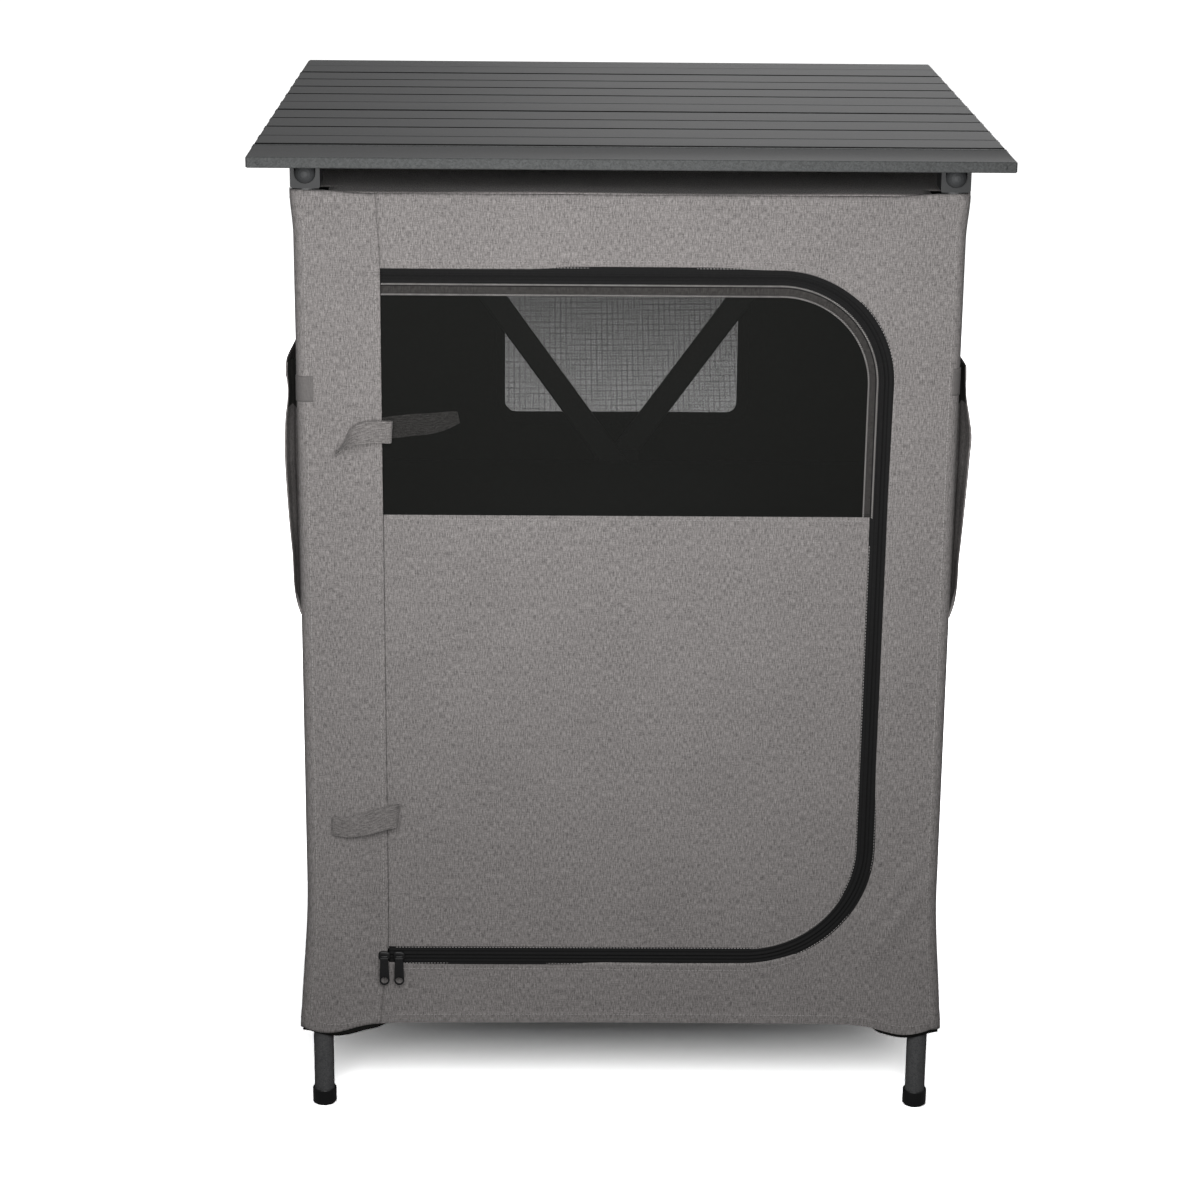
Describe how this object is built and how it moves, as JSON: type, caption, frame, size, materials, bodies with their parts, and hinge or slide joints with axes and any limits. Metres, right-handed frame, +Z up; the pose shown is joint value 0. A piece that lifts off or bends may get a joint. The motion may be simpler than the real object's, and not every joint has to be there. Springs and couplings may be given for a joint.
{
  "type": "folding camp kitchen cupboard",
  "caption": "Folding camp kitchen stand: roll-up slatted table top on a tube frame with crossed rear struts, and a fabric cupboard with a net-windowed zip door, shelf, floor and side pockets.",
  "frame": {"origin": "on the ground, under the middle of the table top", "axes": "+Z up, +Y to the rear, -Y is the side with the zip door, +X to the right seen from the door side"},
  "size_m": [0.66, 0.66, 0.9108],
  "materials": {
    "slat_coating": "fine satin powder coat",
    "tube_coating": "satin powder coat",
    "strut_coating": "satin powder coat",
    "black_plastic": "moulded, matt",
    "foot_rubber": "moulded, matt",
    "body_fabric": "melange woven look, matt",
    "lining": "plain woven, matt",
    "net": "fine knitted net",
    "webbing": "woven webbing",
    "zip_tape": "woven zip tape with a coil",
    "zip_metal": "black enamelled zinc"
  },
  "bodies": {
    "left_frame": {"leg_upper_front_left": "tube_coating", "leg_upper_rear_left": "tube_coating", "cradle_front_left": "black_plastic", "cradle_rear_left": "black_plastic", "rail_left": "tube_coating", "strut_lug_upper_left": "tube_coating", "panel_left": "body_fabric", "pocket_left": "body_fabric", "roof_panel": "lining", "rear_panel": "body_fabric", "rear_window_net": "net", "mid_shelf": "lining", "floor_panel": "lining", "front_surround": "body_fabric", "zip_tape_surround": "zip_tape", "slider_1": "zip_metal", "strap_outer_upper": "webbing", "strap_outer_lower": "webbing", "strap_inner_upper": "webbing"},
    "left_feet": {"leg_lower_front_left": "tube_coating", "leg_lower_rear_left": "tube_coating", "foot_front_left": "foot_rubber", "foot_rear_left": "foot_rubber", "side_bar_left": "tube_coating", "strut_lug_lower_left": "tube_coating"},
    "right_frame": {"leg_upper_front_right": "tube_coating", "leg_upper_rear_right": "tube_coating", "cradle_front_right": "black_plastic", "cradle_rear_right": "black_plastic", "rail_right": "tube_coating", "strut_lug_upper_right": "tube_coating", "panel_right": "body_fabric", "pocket_right": "body_fabric"},
    "right_feet": {"leg_lower_front_right": "tube_coating", "leg_lower_rear_right": "tube_coating", "foot_front_right": "foot_rubber", "foot_rear_right": "foot_rubber", "side_bar_right": "tube_coating", "strut_lug_lower_right": "tube_coating"},
    "strut_a": {"strut_a": "strut_coating"},
    "strut_b": {"strut_b": "strut_coating", "strut_cross_plate": "black_plastic"},
    "table_rear": {"slat_01_rear": "slat_coating"},
    "table_02": {"slat_02": "slat_coating"},
    "table_03": {"slat_03": "slat_coating"},
    "table_04": {"slat_04": "slat_coating"},
    "table_05": {"slat_05": "slat_coating"},
    "table_06": {"slat_06": "slat_coating"},
    "table_07": {"slat_07": "slat_coating"},
    "table_08": {"slat_08": "slat_coating"},
    "table_09": {"slat_09": "slat_coating"},
    "table_10": {"slat_10": "slat_coating"},
    "table_11": {"slat_11_front": "slat_coating"},
    "door": {"door_panel": "body_fabric", "door_net": "net", "zip_tape_door": "zip_tape"},
    "slider_2": {"slider_2": "zip_metal"},
    "pull_1": {"pull_1": "zip_metal"},
    "pull_2": {"pull_2": "zip_metal"}
  },
  "joints": [
    {"name": "frame_fold", "type": "hinge", "parent": "left_frame", "child": "strut_a", "pos_m": [-0.2525, 0.2815, 0.833], "axis": [0, 1, 0], "range_deg": [0, 29.5], "deforming": ["roof_panel", "rear_panel", "rear_window_net", "mid_shelf", "floor_panel", "front_surround", "zip_tape_surround", "door_panel", "door_net", "zip_tape_door"]},
    {"name": "right_feet_pivot", "type": "hinge", "parent": "strut_a", "child": "right_feet", "pos_m": [0.2525, 0.2815, 0.133], "axis": [0, 1, 0], "range_deg": [-29.5, 0]},
    {"name": "strut_cross_pivot", "type": "hinge", "parent": "strut_a", "child": "strut_b", "pos_m": [0, 0.2815, 0.483], "axis": [0, 1, 0], "range_deg": [-59, 0]},
    {"name": "right_frame_pivot", "type": "hinge", "parent": "strut_b", "child": "right_frame", "pos_m": [0.2525, 0.2815, 0.833], "axis": [0, 1, 0], "range_deg": [0, 29.5]},
    {"name": "left_feet_pivot", "type": "hinge", "parent": "strut_b", "child": "left_feet", "pos_m": [-0.2525, 0.2815, 0.133], "axis": [0, 1, 0], "range_deg": [0, 29.5]},
    {"name": "table_lift", "type": "slide", "parent": "left_frame", "child": "table_rear", "axis": [0, 0, 1], "range_m": [0, 0.1]},
    {"name": "table_roll", "type": "hinge", "parent": "table_rear", "child": "table_02", "pos_m": [0, 0.2303, 0.91], "axis": [-1, 0, 0], "range_deg": [0, 30]},
    {"name": "table_roll_03", "type": "hinge", "parent": "table_02", "child": "table_03", "pos_m": [0, 0.17584, 0.91], "axis": [-1, 0, 0], "range_deg": [0, 30]},
    {"name": "table_roll_04", "type": "hinge", "parent": "table_03", "child": "table_04", "pos_m": [0, 0.12139, 0.91], "axis": [-1, 0, 0], "range_deg": [0, 30]},
    {"name": "table_roll_05", "type": "hinge", "parent": "table_04", "child": "table_05", "pos_m": [0, 0.06693, 0.91], "axis": [-1, 0, 0], "range_deg": [0, 30]},
    {"name": "table_roll_06", "type": "hinge", "parent": "table_05", "child": "table_06", "pos_m": [0, 0.01248, 0.91], "axis": [-1, 0, 0], "range_deg": [0, 30]},
    {"name": "table_roll_07", "type": "hinge", "parent": "table_06", "child": "table_07", "pos_m": [0, -0.04198, 0.91], "axis": [-1, 0, 0], "range_deg": [0, 30]},
    {"name": "table_roll_08", "type": "hinge", "parent": "table_07", "child": "table_08", "pos_m": [0, -0.09643, 0.91], "axis": [-1, 0, 0], "range_deg": [0, 30]},
    {"name": "table_roll_09", "type": "hinge", "parent": "table_08", "child": "table_09", "pos_m": [0, -0.15089, 0.91], "axis": [-1, 0, 0], "range_deg": [0, 30]},
    {"name": "table_roll_10", "type": "hinge", "parent": "table_09", "child": "table_10", "pos_m": [0, -0.20534, 0.91], "axis": [-1, 0, 0], "range_deg": [0, 30]},
    {"name": "table_roll_11", "type": "hinge", "parent": "table_10", "child": "table_11", "pos_m": [0, -0.2598, 0.91], "axis": [-1, 0, 0], "range_deg": [0, 30]},
    {"name": "door_swing", "type": "hinge", "parent": "left_frame", "child": "door", "pos_m": [-0.2197, -0.2945, 0.1575], "axis": [0, 0, -1], "range_deg": [0, 90]},
    {"name": "slider_2_run", "type": "slide", "parent": "door", "child": "slider_2", "axis": [1, 0, 0], "range_m": [0, 0.3]},
    {"name": "pull_1_swing", "type": "hinge", "parent": "left_frame", "child": "pull_1", "pos_m": [-0.2221, -0.299, 0.1561], "axis": [-1, 0, 0], "range_deg": [0, 150]},
    {"name": "pull_2_swing", "type": "hinge", "parent": "slider_2", "child": "pull_2", "pos_m": [-0.2083, -0.299, 0.1561], "axis": [-1, 0, 0], "range_deg": [0, 150]}
  ],
  "couplings": [
    {"joint": "right_feet_pivot", "follows": "frame_fold", "ratio": -1},
    {"joint": "strut_cross_pivot", "follows": "frame_fold", "ratio": -2},
    {"joint": "right_frame_pivot", "follows": "frame_fold", "ratio": 1},
    {"joint": "left_feet_pivot", "follows": "frame_fold", "ratio": 1},
    {"joint": "table_roll_03", "follows": "table_roll", "ratio": 1},
    {"joint": "table_roll_04", "follows": "table_roll", "ratio": 1},
    {"joint": "table_roll_05", "follows": "table_roll", "ratio": 1},
    {"joint": "table_roll_06", "follows": "table_roll", "ratio": 1},
    {"joint": "table_roll_07", "follows": "table_roll", "ratio": 1},
    {"joint": "table_roll_08", "follows": "table_roll", "ratio": 1},
    {"joint": "table_roll_09", "follows": "table_roll", "ratio": 1},
    {"joint": "table_roll_10", "follows": "table_roll", "ratio": 1},
    {"joint": "table_roll_11", "follows": "table_roll", "ratio": 1}
  ]
}
